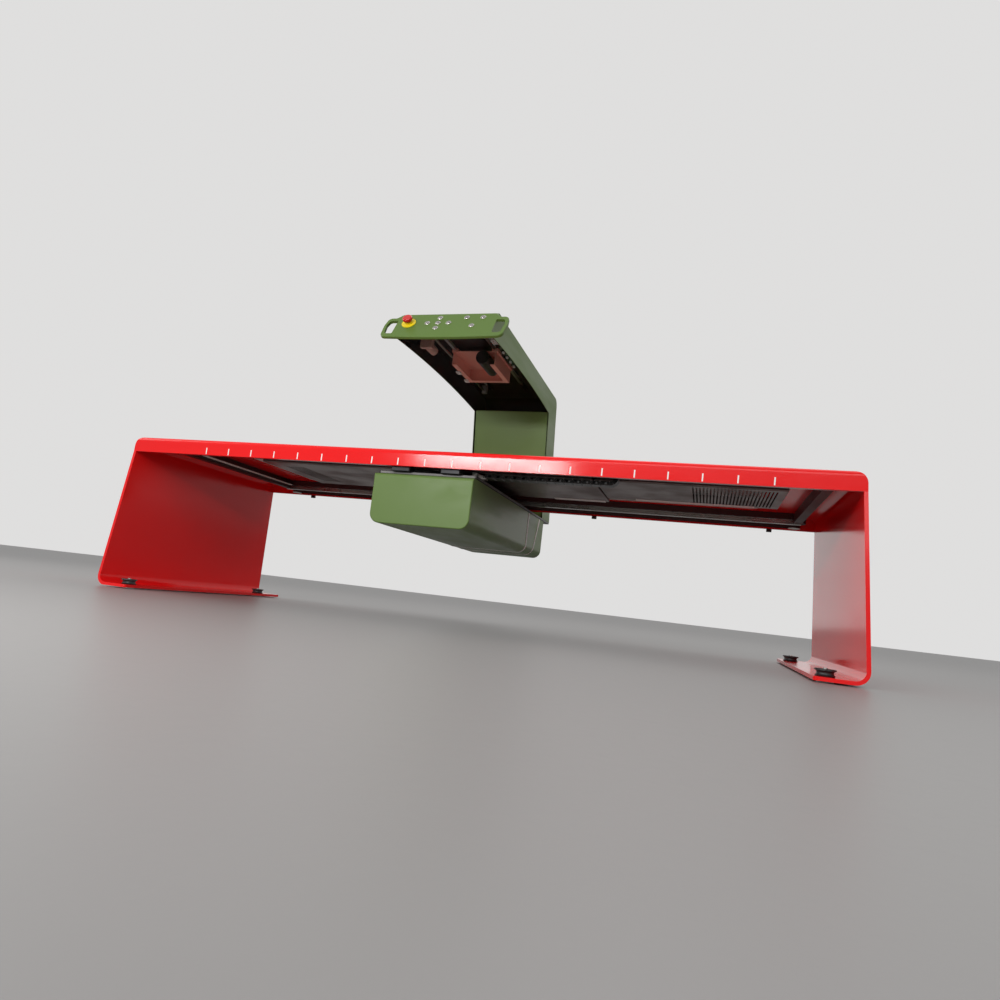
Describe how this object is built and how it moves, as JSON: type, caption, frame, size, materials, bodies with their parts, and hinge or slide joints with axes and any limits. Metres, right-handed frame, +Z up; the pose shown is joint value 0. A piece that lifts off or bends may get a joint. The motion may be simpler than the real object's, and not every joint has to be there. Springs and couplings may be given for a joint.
{
  "type": "bone densitometer",
  "caption": "Bone densitometer: red folded table with a white front scale and a green C-arm scanner that slides along it, with a button panel, tinted cover and source box",
  "frame": {"origin": "on the floor, under the middle of the whole machine", "axes": "+X along the table to the right as seen from the front, +Y to the back, +Z up"},
  "size_m": [2.6436, 1.2, 1.105],
  "materials": {
    "red": "high gloss",
    "green": "satin",
    "pan_metal": "satin",
    "frame_metal": "satin",
    "rail_steel": "ground",
    "dark_steel": "dark",
    "bright_steel": "bright",
    "zinc": "zinc plated",
    "motor_black": "satin",
    "black_plastic": "matt",
    "knob_black": "satin",
    "black_rubber": "matt",
    "mark_white": "matt",
    "top_composite": "satin",
    "board_green": "satin",
    "smoked": "smoked",
    "estop_yellow": "gloss",
    "estop_red": "gloss",
    "lead_grey": "satin"
  },
  "bodies": {
    "table": {"table_shell": "red", "top_panel": "top_composite", "scale_marks": "mark_white", "rail_frame": "frame_metal", "carriage_rails": "rail_steel", "belly_pan_left": "pan_metal", "belly_pan_right": "pan_metal", "pan_screws": "bright_steel", "power_supply": "zinc", "control_board": "board_green", "drive_belt": "black_rubber", "drive_motor": "motor_black", "idler_bracket": "frame_metal", "chain_anchor": "zinc", "cable_clips": "black_plastic", "levelling_feet": "zinc", "energy_chain": "black_plastic"},
    "carriage": {"carriage_plate": "dark_steel", "bearing_blocks": "dark_steel", "belt_clamp": "frame_metal", "chain_bracket": "zinc", "source_cover": "green", "middle_cover": "green", "tail_cover": "green", "seam_strips": "bright_steel", "rim_seal": "black_rubber", "arm_shell": "green", "column_panel": "green", "arm_cover": "smoked", "control_panel": "green", "button_bezels": "bright_steel", "estop_base": "estop_yellow", "scan_rails": "rail_steel", "screw_bearings": "frame_metal", "source_motor": "motor_black", "detector_drive": "frame_metal", "detector_board": "board_green"},
    "source_head": {"source_slide": "frame_metal", "xray_tank": "lead_grey", "collimator": "dark_steel"},
    "detector_head": {"detector_bracket": "frame_metal", "detector_tube": "black_plastic"},
    "source_screw": {"source_screw": "rail_steel"},
    "detector_screw": {"detector_screw": "rail_steel"},
    "drive_pulley": {"drive_pulley": "zinc"},
    "idler_pulley": {"idler_pulley": "zinc"},
    "estop_button": {"estop_button": "estop_red"},
    "button_left": {"button_left": "bright_steel"},
    "button_up": {"button_up": "bright_steel"},
    "button_centre": {"button_centre": "bright_steel"},
    "button_right": {"button_right": "bright_steel"},
    "button_down": {"button_down": "bright_steel"},
    "button_laser": {"button_laser": "bright_steel"},
    "button_start": {"button_start": "bright_steel"},
    "button_stop": {"button_stop": "bright_steel"},
    "knob_front_left": {"knob_front_left": "knob_black"},
    "knob_rear_left": {"knob_rear_left": "knob_black"},
    "knob_front_right": {"knob_front_right": "knob_black"},
    "knob_rear_right": {"knob_rear_right": "knob_black"}
  },
  "joints": [
    {"name": "carriage_slide", "type": "slide", "parent": "table", "child": "carriage", "axis": [1, 0, 0], "range_m": [-0.8, 0.98], "deforming": ["energy_chain"]},
    {"name": "source_scan", "type": "slide", "parent": "carriage", "child": "source_head", "axis": [0, 1, 0], "range_m": [-0.28, 0.26]},
    {"name": "detector_scan", "type": "slide", "parent": "carriage", "child": "detector_head", "axis": [0, 1, 0], "range_m": [-0.28, 0.26]},
    {"name": "source_screw_turn", "type": "hinge", "parent": "carriage", "child": "source_screw", "pos_m": [0.0615, -0.11, 0.473], "axis": [0, 1, 0], "range_deg": [-5041, 4681]},
    {"name": "detector_screw_turn", "type": "hinge", "parent": "carriage", "child": "detector_screw", "pos_m": [-0.1705, -0.11, 1.077], "axis": [0, 1, 0], "range_deg": [-5041, 4681]},
    {"name": "drive_pulley_turn", "type": "hinge", "parent": "table", "child": "drive_pulley", "pos_m": [1.2, 0.285, 0.545], "axis": [0, 0, 1], "range_deg": [-2183.7, 2674.8]},
    {"name": "idler_pulley_turn", "type": "hinge", "parent": "table", "child": "idler_pulley", "pos_m": [-1.096, 0.285, 0.545], "axis": [0, 0, 1], "range_deg": [-2183.7, 2674.8]},
    {"name": "estop_press", "type": "slide", "parent": "carriage", "child": "estop_button", "axis": [0, 0.8387, -0.5446], "range_m": [0, 0.005], "stiffness_N_per_m": 900, "springref_m": -0.001},
    {"name": "button_left_press", "type": "slide", "parent": "carriage", "child": "button_left", "axis": [0, 0.8387, -0.5446], "range_m": [0, 0.0012], "stiffness_N_per_m": 500, "springref_m": -0.0004},
    {"name": "button_up_press", "type": "slide", "parent": "carriage", "child": "button_up", "axis": [0, 0.8387, -0.5446], "range_m": [0, 0.0012], "stiffness_N_per_m": 500, "springref_m": -0.0004},
    {"name": "button_centre_press", "type": "slide", "parent": "carriage", "child": "button_centre", "axis": [0, 0.8387, -0.5446], "range_m": [0, 0.0012], "stiffness_N_per_m": 500, "springref_m": -0.0004},
    {"name": "button_right_press", "type": "slide", "parent": "carriage", "child": "button_right", "axis": [0, 0.8387, -0.5446], "range_m": [0, 0.0012], "stiffness_N_per_m": 500, "springref_m": -0.0004},
    {"name": "button_down_press", "type": "slide", "parent": "carriage", "child": "button_down", "axis": [0, 0.8387, -0.5446], "range_m": [0, 0.0012], "stiffness_N_per_m": 500, "springref_m": -0.0004},
    {"name": "button_laser_press", "type": "slide", "parent": "carriage", "child": "button_laser", "axis": [0, 0.8387, -0.5446], "range_m": [0, 0.0012], "stiffness_N_per_m": 500, "springref_m": -0.0004},
    {"name": "button_start_press", "type": "slide", "parent": "carriage", "child": "button_start", "axis": [0, 0.8387, -0.5446], "range_m": [0, 0.0012], "stiffness_N_per_m": 500, "springref_m": -0.0004},
    {"name": "button_stop_press", "type": "slide", "parent": "carriage", "child": "button_stop", "axis": [0, 0.8387, -0.5446], "range_m": [0, 0.0012], "stiffness_N_per_m": 500, "springref_m": -0.0004},
    {"name": "knob_front_left_turn", "type": "hinge", "parent": "table", "child": "knob_front_left", "pos_m": [-1.22, -0.545, 0.0163], "axis": [0, 0, 1], "range_deg": [-180, 180]},
    {"name": "knob_rear_left_turn", "type": "hinge", "parent": "table", "child": "knob_rear_left", "pos_m": [-1.22, 0.25, 0.0163], "axis": [0, 0, 1], "range_deg": [-180, 180]},
    {"name": "knob_front_right_turn", "type": "hinge", "parent": "table", "child": "knob_front_right", "pos_m": [1.22, -0.545, 0.0163], "axis": [0, 0, 1], "range_deg": [-180, 180]},
    {"name": "knob_rear_right_turn", "type": "hinge", "parent": "table", "child": "knob_rear_right", "pos_m": [1.22, 0.25, 0.0163], "axis": [0, 0, 1], "range_deg": [-180, 180]}
  ],
  "couplings": [
    {"joint": "detector_scan", "follows": "source_scan", "ratio": 1},
    {"joint": "source_screw_turn", "follows": "source_scan", "rad_per_m": 314.16},
    {"joint": "detector_screw_turn", "follows": "source_scan", "rad_per_m": 314.16},
    {"joint": "drive_pulley_turn", "follows": "carriage_slide", "rad_per_m": 47.619},
    {"joint": "idler_pulley_turn", "follows": "carriage_slide", "rad_per_m": 47.619}
  ]
}
